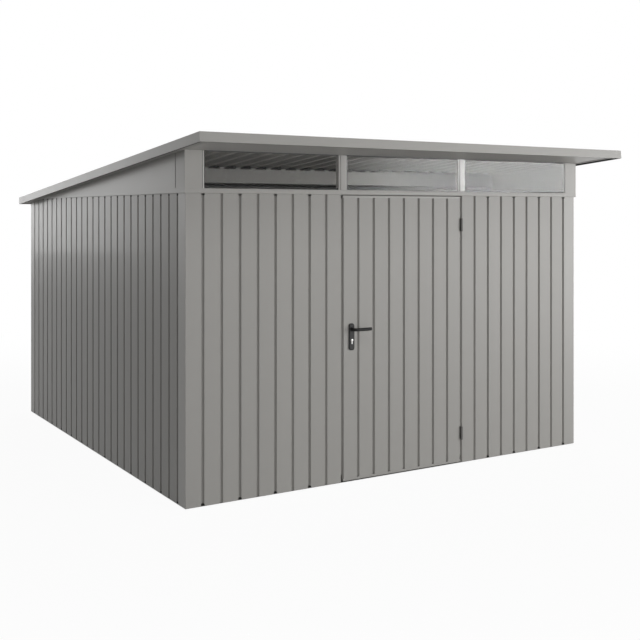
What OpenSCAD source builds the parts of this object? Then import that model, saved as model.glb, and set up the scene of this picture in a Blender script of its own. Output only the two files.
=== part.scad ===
// Pent-roof storage shed in folded sheet steel, with a hinged door and a glazed strip above the front wall.
// Origin at ground level under the middle of the roof, front towards -Y, +Z up, sizes in millimetres.

/* [Wall cladding] */
// Pitch of the wall boards, two of which are folded into each panel
board_w = 125; // [110:1:140]
// Boards in each front bay beside the door
bay_boards = 8; // [4:2:12]
// Boards across the door
door_boards = 8; // [6:2:10]
// Boards along each side wall
side_boards = 24; // [16:2:28]
// Width of each leg of a corner profile
corner_leg = 114; // [90:1:140]
// Height of the boards below the head rail
wall_h = 1865; // [1760:5:1950]
// Thickness of the wall and roof sheet
sheet_t = 0.8; // [0.6:0.1:1.2]
// Depth of a panel from its face to the edge of its side flange
wall_depth = 32; // [28:1:45]
// Width of a groove at the face of the boards
groove_w = 20; // [16:1:26]
// Width of a groove's floor
groove_floor = 9; // [6:1:12]
// Depth of a groove
groove_d = 12; // [8:1:16]
// Inside radius of the bends in the sheet
bend_r = 1; // [0.6:0.1:1.4]
// Width of the relief cut at the ends of a joint between panels
notch_w = 24; // [24:1:30]
// Height of the relief cut that shows below the head rail and above the base rail
notch_h = 12; // [6:1:20]

/* [Base and head frame] */
// Thickness of the base rails, head rails and door posts
frame_t = 2; // [1.5:0.5:3]
// Height of a base rail's upright
base_rail_h = 40; // [30:1:50]
// Width of a base rail's inner foot
base_foot_w = 45; // [45:1:70]
// Setback of a base rail's foot behind the boards
base_setback = 3; // [2:1:8]
// Diameter of an anchor hole
anchor_d = 11; // [8:0.5:14]
// Distance of an anchor hole from the wall's corner
anchor_end = 300; // [200:10:500]
// Height of the head rail's face
head_rail_h = 30; // [24:1:40]
// Drop of the head rail's inner leg below its face
head_leg = 20; // [10:1:30]
// How far the head rail, posts and gables stand proud of the boards
trim_out = 10; // [6:1:14]
// How far the wall boards reach up inside the head rail
board_tuck = 20; // [10:1:22]
// Width of a door post
post_w = 60; // [50:1:80]
// Depth of a door post
post_d = 40; // [30:1:45]

/* [Glazed strip] */
// Height of the glazed strip, from the sill's top to the soffit at the front wall
glazed_h = 225; // [190:5:310]
// Width of each leg of a corner post beside the glazing
clere_leg = 119; // [100:1:140]
// Width of the lip along a glazed opening
lip_w = 15; // [10:1:20]
// Setback of the lip behind the face of its post
lip_step = 4; // [3:1:7]
// Depth of the reveal of a glazed opening behind the boards
reveal_d = 23; // [18:1:32]
// Width of a mullion
mullion_w = 66; // [50:1:90]
// Thickness of a pane
pane_t = 4; // [3:0.5:6]
// Setback of a pane behind the lips of its opening
pane_setback = 1; // [0:0.5:8]
// Height of the stop behind a pane
pane_stop_h = 13; // [8:1:20]

/* [Roof] */
// Slope of the roof down to the back
roof_slope = 5; // [4:0.5:6]
// Overhang at each side
roof_side = 85; // [60:1:95]
// Overhang at the front
roof_front = 372; // [250:1:450]
// Overhang at the back
roof_back = 79; // [60:1:95]
// Height of the front and side fascias
fascia_h = 58; // [56:1:80]
// How far a fascia's drip edge hangs below the soffit
fascia_drip = 10; // [5:1:12]
// Width of the drip edge
drip_w = 6; // [5:0.5:10]
// Height of the eaves profile at the back
eaves_h = 20; // [15:1:21]
// Width of a fascia's top return
fascia_return = 18; // [12:1:30]
// Width of a fascia's soffit return
soffit_return = 95; // [95:1:120]
// Height of the front soffit's turned-up edges
soffit_edge = 20; // [15:1:21]
// Height of the roof sheet's valleys above the soffit
sheet_seat = 22; // [22:1:26]
// Pitch of the roof sheet's ribs
rib_pitch = 125; // [110:1:140]
// Width of a rib's crest
rib_crest = 60; // [50:1:66]
// Width of a valley between ribs
rib_valley = 35; // [25:1:40]
// Height of a rib
rib_h = 22; // [18:1:23]
// Sheets side by side
roof_sheet_count = 3; // [1:1:4]
// Width of a roof bearer
bearer_w = 40; // [30:1:60]
// Purlins between the front and back walls
purlin_count = 3; // [1:1:4]
// Distance of the first purlin behind the face of the front wall
purlin_start = 880; // [600:10:1000]
// Height of a purlin
purlin_h = 112; // [80:1:120]
// Width of a purlin's flanges
purlin_w = 50; // [40:1:60]
// Depth of the lip on a purlin's flange
purlin_lip = 15; // [10:1:20]
// Width of the cleat at a purlin's end
cleat_w = 60; // [40:1:80]
// Thickness of a cleat
cleat_t = 4; // [3:1:6]

/* [Door leaf] */
// Gap from the door's edge to the joint line, on the leaf and on the wall
door_gap = 6; // [6:0.5:8]
// Gap between the leaf and the head rail, the threshold and the stops
leaf_gap = 5; // [5:0.5:8]
// Height of the caps along the top and bottom of the leaf
cap_h = 15; // [10:1:25]
// Thickness of the caps
cap_t = 1; // [0.8:0.1:1.5]
// Depth of the leaf's inner frame
leaf_frame_d = 20; // [16:1:30]
// Wall thickness of the leaf's inner frame
leaf_frame_t = 1.5; // [1:0.5:3]
// Width of the hinge stile and the rails
stile_w = 40; // [30:1:60]
// Width of the lock stile
lock_stile_w = 72; // [66:1:90]
// Gap between the leaf's inner frame and the door posts
stile_gap = 8; // [8:1:12]

/* [Door furniture] */
// Distance of the handle's spindle from the door's joint line
backset = 70; // [68:1:76]
// Height of the spindle above the ground
spindle_z = 990; // [900:5:1100]
// Distance from the spindle down to the lock cylinder
cylinder_drop = 72; // [72:1:92]
// Width of the handle's back plate
plate_w = 42; // [40:1:48]
// Height of the back plate
plate_h = 174; // [160:1:240]
// Distance of the spindle below the back plate's top
plate_top = 37; // [30:1:50]
// Thickness of the back plate
plate_t = 8; // [5:1:10]
// Corner radius of the back plate
plate_r = 16; // [4:1:18]
// Diameter of the lever
lever_d = 20; // [16:1:20]
// Length of the lever from the spindle to its end
lever_l = 124; // [110:1:145]
// Bend radius of the lever's neck
lever_bend = 14; // [12:1:20]
// Stand-off of the lever's centre line from the back plate
lever_out = 46; // [42:1:60]
// Length of the chamfer at the lever's end
lever_chamfer = 3; // [1:0.5:5]
// Side of the square spindle
spindle_w = 8; // [7:1:9]
// Diameter of the lock cylinder
lock_d = 17; // [17:1:18]
// Overall height of the lock cylinder's profile
lock_h = 33; // [30:1:34]
// Width of the lock cylinder's stem
lock_stem_w = 10; // [8:1:11]
// How far the lock cylinder stands out of the back plate
lock_out = 3; // [1:0.5:5]
// Height of the lock front and strike plates
strike_h = 170; // [120:5:240]
// Thickness of the lock front and strike plates
strike_t = 2; // [1.5:0.5:2]

/* [Hinges] */
// Height of the lower hinge's bottom end above the ground
hinge_low_z = 164; // [120:1:300]
// Distance of the upper hinge's top end below the head rail
hinge_drop = 159; // [100:1:300]
// Height of a hinge
hinge_h = 86; // [70:1:110]
// Diameter of a hinge barrel
barrel_d = 16; // [14:1:17]
// Diameter of a hinge pin
pin_d = 8; // [6:0.5:9]
// Thickness of a hinge plate
hinge_plate_t = 3; // [2:0.5:3]
// Depth of a hinge plate behind the boards
hinge_plate_d = 24; // [20:1:25]
// Gap between a hinge's two knuckles
knuckle_gap = 1; // [0.5:0.5:2]
// Wall left above the pin in the upper knuckle
knuckle_cap = 3; // [2:1:5]

/* [Clearances] */
// Gap between pieces that are fitted side by side
fit = 0.3; // [0.2:0.1:0.4]
// Gap under a seated piece
seat = 0.2; // [0.1:0.1:0.3]
// Radial clearance of a hinge pin or a lever's neck in its bore
running = 0.15; // [0.1:0.05:0.3]
// Clearance of a hole that only lets a piece pass
pass = 2; // [1.5:0.5:3]

/* [Hidden] */
$fn = 48;
// Largest turn of one flat in a bend, in degrees
bend_step = 30;
cladding_grey = "#8f8e8b";
trim_grey = "#a3a29f";
steel_grey = "#b4b5b6";
glass_tint = [0.75, 0.79, 0.80, 0.5];
handle_black = "#242424";

front_boards = 2 * bay_boards + door_boards;
wall_w = front_boards * board_w + 2 * corner_leg;
wall_d = side_boards * board_w + 2 * corner_leg;
front_y = (roof_front - roof_back - wall_d) / 2;
back_y = front_y + wall_d;
door_x = door_boards * board_w / 2;
big = 3 * (wall_w + wall_d);

joint = fit / 2;
groove_slant = (groove_w - groove_floor) / 2;
wall_top = wall_h + board_tuck;
head_top = wall_h + head_rail_h;
soffit_z = head_top + glazed_h;
inner_d = wall_depth + frame_t;
pane_y = lip_step - trim_out + pane_setback;

roof_x = wall_w / 2 + roof_side;
eaves_front = -roof_front / cos(roof_slope);
fascia_top = fascia_h - fascia_drip;
eaves_back = (wall_d + roof_back - fascia_top * sin(roof_slope)) / cos(roof_slope);
soffit_inner_x = roof_x - soffit_return - fit;
back_head_z = soffit_z - (wall_d + trim_out) * tan(roof_slope) - seat;
back_rail_z = back_head_z - head_rail_h;
back_board_top = back_rail_z + board_tuck;

leaf_depth = wall_depth - leaf_gap - cap_t;
leaf_bottom = frame_t + leaf_gap;
leaf_top = wall_h - leaf_gap;
leaf_x = door_x - door_gap;
leaf_frame_x = door_x - post_w / 2 - stile_gap;
leaf_frame_bottom = base_rail_h + leaf_gap + 1;
leaf_frame_top = wall_h - head_leg - leaf_gap - 1;
leaf_back = leaf_depth + leaf_frame_d;

spindle_x = -door_x + backset;
lock_z = spindle_z - cylinder_drop;
plate_bottom = spindle_z + plate_top - plate_h;
hinge_high_z = wall_h - hinge_drop - hinge_h;
hinge_out = barrel_d / 2 + 1;
knuckle_h = (hinge_h - knuckle_gap) / 2;

// Outline of a folded sheet: a line of fold points on its outer face, thickened to the left of travel
// Each bend turns about one axis, so its two faces stay the sheet's thickness apart
function reversed(list) = [for (i = [len(list) - 1 : -1 : 0]) list[i]];
function fold_normal(points, i) =
    let (step = points[i + 1] - points[i])
    [-step.y, step.x] / norm(step);
function fold_bend(points, i, t, depth) =
    let (before = fold_normal(points, i - 1), after = fold_normal(points, i))
    let (turn = before.x * after.y - before.y * after.x, sweep = atan2(turn, before * after))
    let (axis_depth = turn > 0 ? bend_r + t : -bend_r)
    let (axis = points[i] + axis_depth * (before + after) / (1 + before * after))
    let (start = atan2(before.y, before.x), flats = ceil(abs(sweep) / bend_step))
    [for (k = [0 : flats])
        let (a = start + sweep * k / flats)
        axis + (depth - axis_depth) * [cos(a), sin(a)]];
function fold_line(points, t, depth) = let (last = len(points) - 1) concat(
    [points[0] + depth * fold_normal(points, 0)],
    [for (i = [1 : last - 1]) each fold_bend(points, i, t, depth)],
    [points[last] + depth * fold_normal(points, last - 1)]
);
function folded(points, t) = concat(fold_line(points, t, 0), reversed(fold_line(points, t, t)));

// Plan outline of one wall panel between two joint lines, with open sides at the doorway
function panel_left(u, depth, open) = open
    ? [[u + door_gap, depth], [u + door_gap, groove_d], [u + door_gap + groove_slant, 0]]
    : [[u + joint, depth], [u + joint, groove_d], [u + groove_floor / 2, groove_d], [u + groove_w / 2, 0]];
function flipped(points, u) = [for (p = reversed(points)) [u - p.x, p.y]];
function crease(u) = [
    [u - groove_w / 2, 0], [u - groove_floor / 2, groove_d],
    [u + groove_floor / 2, groove_d], [u + groove_w / 2, 0]
];
function panel_points(u, depth, open_left, open_right) = concat(
    panel_left(u, depth, open_left),
    crease(u + board_w),
    flipped(panel_left(0, depth, open_right), u + 2 * board_w)
);

// Places children on a wall, with X along it from the left end seen from outside and Y inwards
// Walls are numbered from the front: 0 front, 1 right, 2 back, 3 left
module on_wall(side) {
    corners = [[-wall_w / 2, front_y], [wall_w / 2, front_y], [wall_w / 2, back_y], [-wall_w / 2, back_y]];
    translate(corners[side]) rotate(90 * side) children();
}

// Places children on the roof, with Y down the slope from the front wall's face and Z up from the soffit
module on_roof() {
    translate([0, front_y, soffit_z]) rotate([-roof_slope, 0, 0]) children();
}

// Places children on the roof's edge, as on_wall does on the walls
module on_eaves(side) {
    corners = [
        [-roof_x, eaves_front], [roof_x, eaves_front], [roof_x, eaves_back], [-roof_x, eaves_back]
    ];
    on_roof() translate(corners[side]) rotate(90 * side) children();
}

// Cuts children off under the soffit plane
module under_roof(gap = seat) {
    difference() {
        children();
        on_roof() translate([-big / 2, -big / 2, -gap]) cube(big);
    }
}

// Straight run of a section with Y inwards and Z up
module run(from, to) {
    translate([from, 0, 0]) rotate([90, 0, 90]) linear_extrude(to - from) children();
}

// Run of a section whose ends are mitred in plan at the outer corners
module mitred_run(length, start_mitred = true, end_mitred = true) {
    difference() {
        run(0, length) children();
        if (start_mitred) mitre_cut();
        if (end_mitred) translate([length, 0, 0]) mirror([1, 0, 0]) mitre_cut();
    }
}

module mitre_cut() {
    rotate(45) translate([-big / 2, -joint, -big / 2]) cube(big);
}

// Bar along Y from one depth to another
module round_bar(d, from, to) {
    translate([0, from, 0]) rotate([-90, 0, 0]) cylinder(d = d, h = to - from);
}

// Profile of the lock cylinder along Y, with its round part at the origin
module lock_profile(from, to, clearance) {
    stem = lock_stem_w + 2 * clearance;
    drop = lock_h - (lock_d + lock_stem_w) / 2;
    round_bar(lock_d + 2 * clearance, from, to);
    translate([0, 0, -drop]) round_bar(stem, from, to);
    translate([-stem / 2, from, -drop]) cube([stem, to - from, drop]);
}

module at_front() {
    translate([0, front_y, 0]) children();
}

module base_rail(length, from, to) {
    foot_d = inner_d + base_foot_w;
    difference() {
        run(from, to) polygon([
            [base_setback, 0], [foot_d, 0], [foot_d, frame_t], [inner_d, frame_t],
            [inner_d, base_rail_h], [wall_depth, base_rail_h], [wall_depth, frame_t], [base_setback, frame_t]
        ]);
        for (u = [anchor_end, length - anchor_end])
            translate([u, inner_d + base_foot_w / 2, -1]) cylinder(d = anchor_d, h = frame_t + 2);
    }
}

module long_base_rail(side) {
    color(steel_grey) on_wall(side) base_rail(wall_w, base_setback, wall_w - base_setback);
}

module short_base_rail(side) {
    inset = inner_d + base_foot_w + fit;
    color(steel_grey) on_wall(side) base_rail(wall_d, inset, wall_d - inset);
}

module base_rail_front() { long_base_rail(0); }
module base_rail_right() { short_base_rail(1); }
module base_rail_back() { long_base_rail(2); }
module base_rail_left() { short_base_rail(3); }

// Relief cuts at both ends of a joint line, below a head rail at the given height and above the base rail
module joint_notches(u, rail_z) {
    for (cut = [[0, frame_t + notch_h], [rail_z - notch_h, rail_z + board_tuck + 1]])
        translate([u - notch_w / 2, -1, cut[0]]) cube([notch_w, wall_depth + 2, cut[1] - cut[0]]);
}

// Corner profile with a half groove along each leg, under head rails that may differ in height
module corner(leg_rail_z, side_rail_z) {
    leg = [
        [corner_leg - groove_w / 2, 0], [corner_leg - groove_floor / 2, groove_d],
        [corner_leg - joint, groove_d], [corner_leg - joint, wall_depth]
    ];
    side_leg = [for (p = reversed(leg)) [p.y, p.x]];
    difference() {
        translate([0, 0, frame_t]) linear_extrude(wall_top - frame_t)
            polygon(folded(concat(side_leg, [[0, 0]], leg), sheet_t));
        joint_notches(corner_leg, leg_rail_z);
        mirror([1, -1, 0]) joint_notches(corner_leg, side_rail_z);
    }
}

// Room for the back head rail over the leg of a back corner
module back_leg_trim(from, to) {
    translate([from, -1, back_board_top]) cube([to - from, inner_d + 1, big]);
}

module corner_front_left() {
    color(trim_grey) on_wall(0) corner(wall_h, wall_h);
}

module corner_front_right() {
    color(trim_grey) on_wall(1) corner(wall_h, wall_h);
}

module corner_back_right() {
    color(trim_grey) difference() {
        under_roof() on_wall(2) corner(back_rail_z, wall_h);
        on_wall(2) back_leg_trim(sheet_t + fit / 2, 2 * corner_leg);
    }
}

module corner_back_left() {
    color(trim_grey) difference() {
        under_roof() on_wall(3) corner(wall_h, back_rail_z);
        on_wall(2) back_leg_trim(wall_w - 2 * corner_leg, wall_w - sheet_t - fit / 2);
    }
}

// Wall panel from the base rail up into a head rail at the given height
module panel(u, rail_z, open_left, open_right) {
    difference() {
        translate([0, 0, frame_t]) linear_extrude(rail_z + board_tuck - frame_t)
            polygon(folded(panel_points(u, wall_depth, open_left, open_right), sheet_t));
        if (!open_left) joint_notches(u, rail_z);
        if (!open_right) joint_notches(u + 2 * board_w, rail_z);
    }
}

// Row of wall panels, the first or last of which may be open towards the doorway
module panel_row(from, boards, rail_z, open_left = false, open_right = false) {
    last = boards - 2;
    for (i = [0 : 2 : last])
        panel(from + i * board_w, rail_z, open_left && i == 0, open_right && i == last);
}

module front_wall_left() {
    color(cladding_grey) on_wall(0) panel_row(corner_leg, bay_boards, wall_h, open_right = true);
}

module front_wall_right() {
    color(cladding_grey) on_wall(0)
        panel_row(wall_w / 2 + door_x, bay_boards, wall_h, open_left = true);
}

module right_wall() {
    color(cladding_grey) under_roof() on_wall(1) panel_row(corner_leg, side_boards, wall_h);
}

module back_wall() {
    color(cladding_grey) on_wall(2) panel_row(corner_leg, front_boards, back_rail_z);
}

module left_wall() {
    color(cladding_grey) under_roof() on_wall(3) panel_row(corner_leg, side_boards, wall_h);
}

module box_tube(size, t, axis) {
    inner = [for (i = [0 : 2]) i == axis ? size[i] + 2 : size[i] - 2 * t];
    offset_in = [for (i = [0 : 2]) i == axis ? -1 : t];
    difference() {
        cube(size);
        translate(offset_in) cube(inner);
    }
}

module door_posts() {
    color(steel_grey) at_front() for (x = [-door_x, door_x])
        translate([x - post_w / 2, inner_d, frame_t])
            box_tube([post_w, post_d, head_top - frame_t], frame_t, 2);
}

// Section of the head rail from its outer face, a channel over the tops of the boards
function head_section(top, pitch = 0) =
    let (back = inner_d + trim_out)
    folded([
        [back, top - head_rail_h - head_leg], [back, top + back * tan(pitch)], [0, top],
        [0, top - head_rail_h], [trim_out - fit, top - head_rail_h]
    ], frame_t);

// Clear widths of the three glazed openings along the front wall
glazed_spans = [
    [clere_leg, wall_w / 2 - door_x - mullion_w / 2],
    [wall_w / 2 - door_x + mullion_w / 2, wall_w / 2 + door_x - mullion_w / 2],
    [wall_w / 2 + door_x + mullion_w / 2, wall_w - clere_leg]
];

module clerestory_sill() {
    stop_d = pane_y + pane_t + fit;
    color(trim_grey) on_wall(0) {
        translate([-trim_out, -trim_out, 0]) mitred_run(wall_w + 2 * trim_out)
            polygon(head_section(head_top));
        for (span = glazed_spans)
            translate([span[0] + fit, stop_d, head_top - frame_t])
                cube([span[1] - span[0] - 2 * fit, frame_t, frame_t + pane_stop_h]);
    }
}

module head_rail_right() {
    color(trim_grey) under_roof() on_wall(1) translate([-trim_out, -trim_out, 0])
        mitred_run(wall_d - corner_leg + trim_out, end_mitred = false) polygon(head_section(head_top));
}

module head_rail_left() {
    color(trim_grey) under_roof() on_wall(3) translate([corner_leg, -trim_out, 0])
        mitred_run(wall_d - corner_leg + trim_out, start_mitred = false) polygon(head_section(head_top));
}

module head_rail_back() {
    inset = sheet_t + fit;
    color(trim_grey) on_wall(2) translate([0, -trim_out, 0]) run(inset, wall_w - inset)
        polygon(head_section(back_head_z, roof_slope));
}

// Corner post of the glazed strip, with a stepped lip and a reveal beside the pane
module clerestory_post() {
    color(trim_grey) under_roof() on_wall(0)
        translate([0, 0, head_top]) linear_extrude(big / 4) polygon(folded([
            [trim_out, clere_leg], [-trim_out, clere_leg], [-trim_out, -trim_out],
            [clere_leg - lip_w, -trim_out], [clere_leg - lip_w, lip_step - trim_out],
            [clere_leg, lip_step - trim_out], [clere_leg, reveal_d]
        ], sheet_t));
}

module clerestory_post_left() { clerestory_post(); }
module clerestory_post_right() { mirror([1, 0, 0]) clerestory_post(); }

module mullions() {
    half = mullion_w / 2;
    color(trim_grey) under_roof() at_front() for (x = [-door_x, door_x])
        translate([x, 0, head_top]) linear_extrude(big / 4) polygon(folded([
            [-half, reveal_d], [-half, lip_step - trim_out], [lip_w - half, lip_step - trim_out],
            [lip_w - half, -trim_out], [half - lip_w, -trim_out], [half - lip_w, lip_step - trim_out],
            [half, lip_step - trim_out], [half, reveal_d]
        ], sheet_t));
}

module pane(i) {
    span = glazed_spans[i];
    color(glass_tint) under_roof() on_wall(0)
        translate([span[0] + fit, pane_y, head_top + seat])
            cube([span[1] - span[0] - 2 * fit, pane_t, big / 4]);
}

module pane_left() { pane(0); }
module pane_middle() { pane(1); }
module pane_right() { pane(2); }

// Plain plate between the side head rail and the roof, flanged along both edges
module gable() {
    start = clere_leg + fit;
    tip_h = 4 * sheet_t;
    taper = (soffit_z - head_top - tip_h) / tan(roof_slope);
    end = min(taper, wall_d - corner_leg);
    flange = 2 * trim_out;
    color(trim_grey) {
        under_roof() on_wall(1) run(start, end) translate([-trim_out, head_top + seat])
            polygon(folded([[0, big / 8], [0, 0], [flange, 0]], sheet_t));
        on_roof()
            translate([wall_w / 2 + trim_out - flange, start / cos(roof_slope), -seat - sheet_t])
                cube([flange, (end - start) / cos(roof_slope), sheet_t]);
    }
}

module gable_right() { gable(); }
module gable_left() { mirror([1, 0, 0]) gable(); }

module roof_bearers() {
    starts = [-trim_out, eaves_back - soffit_return - fit - bearer_w];
    color(steel_grey) on_roof() for (v = starts)
        translate([-soffit_inner_x, v, 0])
            box_tube([2 * soffit_inner_x, bearer_w, sheet_seat - seat], frame_t, 0);
}

cleat_x = wall_w / 2 - inner_d - seat - cleat_t;
purlin_x = cleat_x - fit;
purlin_pitch = (wall_d - purlin_start) / purlin_count;
purlin_rows = [for (i = [0 : purlin_count - 1]) purlin_start + i * purlin_pitch];

module purlins() {
    color(steel_grey) on_roof() for (y = purlin_rows)
        translate([0, y / cos(roof_slope) - purlin_w / 2, sheet_seat - seat - purlin_h])
            run(-purlin_x, purlin_x) polygon(folded([
                [purlin_w, purlin_h - purlin_lip], [purlin_w, purlin_h], [0, purlin_h],
                [0, 0], [purlin_w, 0], [purlin_w, purlin_lip]
            ], frame_t));
}

// End plates on the inner legs of the side head rails, which carry the purlins
module purlin_cleats() {
    drop = sheet_seat - purlin_lip;
    color(steel_grey) under_roof(-drop) for (y = purlin_rows, flip = [0, 1])
        mirror([flip, 0, 0])
            translate([cleat_x, front_y + y - cleat_w / 2, wall_h - head_leg])
                cube([cleat_t, cleat_w, big / 8]);
}

ribs_per_sheet = floor(2 * (roof_x - sheet_seat / 2) / rib_pitch / roof_sheet_count);
function rib_points(count) = let (slant = (rib_pitch - rib_crest - rib_valley) / 2) concat(
    [[joint, 0]],
    [for (k = [0 : count - 1], p = [
        [rib_valley / 2, 0], [rib_valley / 2 + slant, rib_h],
        [rib_pitch - rib_valley / 2 - slant, rib_h], [rib_pitch - rib_valley / 2, 0]
    ]) [k * rib_pitch + p.x, p.y]],
    [[count * rib_pitch - joint, 0]]
);

module roof_sheets() {
    cover = ribs_per_sheet * rib_pitch;
    length = eaves_back - eaves_front - 2 * sheet_t - fit;
    color(cladding_grey) on_roof() for (i = [0 : roof_sheet_count - 1])
        translate([(i - roof_sheet_count / 2) * cover, eaves_back, sheet_seat])
            rotate([90, 0, 0]) linear_extrude(length) polygon(folded(rib_points(ribs_per_sheet), sheet_t));
}

// Section of a fascia with its top return, drip edge and soffit return, up to a height above the soffit
function fascia_section(height) = folded([
    [fascia_return, height], [0, height], [0, -fascia_drip], [drip_w, -fascia_drip], [drip_w, 0],
    [soffit_return, 0]
], sheet_t);

module fascia(side, height) {
    length = side % 2 == 0 ? 2 * roof_x : eaves_back - eaves_front;
    color(trim_grey) on_eaves(side) mitred_run(length) polygon(fascia_section(height));
}

module fascia_front() { fascia(0, fascia_top); }
module fascia_right() { fascia(1, fascia_top); }
module eaves_back() { fascia(2, eaves_h); }
module fascia_left() { fascia(3, fascia_top); }

module front_soffit() {
    front = eaves_front + soffit_return + fit;
    back = -trim_out - fit;
    color(trim_grey) on_roof() run(-soffit_inner_x, soffit_inner_x) polygon(folded([
        [front, soffit_edge], [front, 0], [back, 0], [back, soffit_edge]
    ], sheet_t));
}

// Knuckle and plate of one hinge half; the plate lies on the edge of the door or of the wall
module hinge_half(z, side) {
    plate_x = side > 0 ? door_gap - hinge_plate_t : -door_gap;
    translate([door_x, -hinge_out, z]) cylinder(d = barrel_d, h = knuckle_h);
    translate([door_x + plate_x, -hinge_out, z])
        cube([hinge_plate_t, hinge_out + hinge_plate_d, knuckle_h]);
}

module hinge_pin_halves() {
    color(steel_grey) at_front() for (z = [hinge_low_z, hinge_high_z]) {
        hinge_half(z, 1);
        translate([door_x, -hinge_out, z]) cylinder(d = pin_d, h = hinge_h - 2 * knuckle_cap);
    }
}

module hinge_door_halves() {
    color(steel_grey) at_front() for (z = [hinge_low_z, hinge_high_z]) difference() {
        hinge_half(z + knuckle_h + knuckle_gap, -1);
        translate([door_x, -hinge_out, z])
            cylinder(d = pin_d + 2 * running, h = hinge_h - knuckle_cap);
    }
}

module strike_plate() {
    color(steel_grey) at_front()
        translate([-door_x - door_gap, groove_d + 1, lock_z - strike_h / 2])
            cube([strike_t, wall_depth - groove_d - 2, strike_h]);
}

module lock_front() {
    color(steel_grey) at_front()
        translate([-leaf_x - strike_t, groove_d + 1, lock_z - strike_h / 2])
            cube([strike_t, leaf_depth - groove_d - 2, strike_h]);
}

// Holes for the spindle and the lock cylinder through the leaf
module furniture_holes(from, to) {
    translate([spindle_x, 0, spindle_z]) round_bar(sqrt(2) * spindle_w + 2 * pass, from, to);
    translate([spindle_x, 0, lock_z]) lock_profile(from, to, pass);
}

module door_cladding() {
    bottom = leaf_bottom + cap_t + bend_r;
    top = leaf_top - cap_t - bend_r;
    color(cladding_grey) at_front() difference() {
        for (i = [0 : 2 : door_boards - 2])
            translate([0, 0, bottom]) linear_extrude(top - bottom)
                polygon(folded(
                    panel_points(-door_x + i * board_w, leaf_depth, i == 0, i == door_boards - 2), sheet_t
                ));
        furniture_holes(-1, groove_d);
    }
}

module door_caps() {
    color(trim_grey) at_front() run(-leaf_x, leaf_x) for (end = [[leaf_top, 1], [leaf_bottom, -1]])
        translate([0, end[0]]) mirror([0, end[1] < 0 ? 1 : 0]) polygon(folded([
            [leaf_depth + cap_t, -cap_h], [leaf_depth + cap_t, 0], [-cap_t, 0], [-cap_t, -cap_h]
        ], cap_t));
}

module door_frame() {
    h = leaf_frame_top - leaf_frame_bottom;
    rail_from = lock_stile_w - leaf_frame_x + fit;
    rail_to = leaf_frame_x - stile_w - fit;
    rail_z = [leaf_frame_bottom, spindle_z - stile_w / 2, leaf_frame_top - stile_w];
    color(steel_grey) at_front() translate([0, leaf_depth, 0]) {
        difference() {
            translate([-leaf_frame_x, 0, leaf_frame_bottom])
                box_tube([lock_stile_w, leaf_frame_d, h], leaf_frame_t, 2);
            furniture_holes(-1, leaf_frame_d + 1);
        }
        translate([leaf_frame_x - stile_w, 0, leaf_frame_bottom])
            box_tube([stile_w, leaf_frame_d, h], leaf_frame_t, 2);
        for (z = rail_z)
            translate([rail_from, 0, z])
                box_tube([rail_to - rail_from, leaf_frame_d, stile_w], leaf_frame_t, 0);
    }
}

// Back plate with rounded corners, bored for the lever's neck and cut for the lock cylinder
module handle_plate(from) {
    color(handle_black) at_front() difference() {
        translate([spindle_x, from, plate_bottom]) {
            translate([-plate_w / 2, 0, plate_r]) cube([plate_w, plate_t, plate_h - 2 * plate_r]);
            translate([plate_r - plate_w / 2, 0, 0]) cube([plate_w - 2 * plate_r, plate_t, plate_h]);
            for (x = [-1, 1], z = [plate_r, plate_h - plate_r])
                translate([x * (plate_w / 2 - plate_r), 0, z]) round_bar(2 * plate_r, 0, plate_t);
        }
        translate([spindle_x, 0, spindle_z]) round_bar(lever_d + 2 * running, from - 1, from + plate_t + 1);
        translate([spindle_x, 0, lock_z]) lock_profile(from - 1, from + plate_t + 1, fit);
    }
}

module handle_plate_outside() { handle_plate(-plate_t); }
module handle_plate_inside() { handle_plate(leaf_back); }

module lock_cylinder() {
    color("#d8d8d6") at_front() translate([spindle_x, 0, lock_z])
        lock_profile(-plate_t - lock_out, leaf_back + plate_t + lock_out, 0);
}

// Lever with its neck along Y from the origin and its grip towards +X
module lever() {
    neck_l = plate_t + lever_out - lever_bend;
    round_bar(lever_d, seat, neck_l);
    translate([lever_bend, neck_l, 0]) rotate([0, 0, 90]) rotate_extrude(angle = 90)
        translate([lever_bend, 0]) circle(d = lever_d);
    translate([lever_bend, neck_l + lever_bend, 0]) rotate([0, 90, 0]) {
        grip_l = lever_l - lever_bend - lever_chamfer;
        cylinder(d = lever_d, h = grip_l);
        translate([0, 0, grip_l])
            cylinder(d1 = lever_d, d2 = lever_d - 2 * lever_chamfer, h = lever_chamfer);
    }
}

module lever_outside() {
    color(handle_black) at_front() translate([spindle_x, 0, spindle_z]) {
        mirror([0, 1, 0]) lever();
        translate([-spindle_w / 2, -plate_t / 2, -spindle_w / 2])
            cube([spindle_w, plate_t / 2 + leaf_back, spindle_w]);
    }
}

module lever_inside() {
    color(handle_black) at_front() translate([spindle_x, leaf_back, spindle_z]) lever();
}

base_rail_front();
base_rail_right();
base_rail_back();
base_rail_left();
corner_front_left();
corner_front_right();
corner_back_right();
corner_back_left();
front_wall_left();
front_wall_right();
right_wall();
back_wall();
left_wall();
door_posts();
clerestory_sill();
head_rail_right();
head_rail_back();
head_rail_left();
clerestory_post_left();
clerestory_post_right();
mullions();
pane_left();
pane_middle();
pane_right();
gable_left();
gable_right();
roof_bearers();
purlins();
purlin_cleats();
roof_sheets();
fascia_front();
fascia_right();
eaves_back();
fascia_left();
front_soffit();
hinge_pin_halves();
strike_plate();
door_cladding();
door_caps();
door_frame();
hinge_door_halves();
handle_plate_outside();
handle_plate_inside();
lock_cylinder();
lock_front();
lever_outside();
lever_inside();
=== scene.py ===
import math

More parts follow.
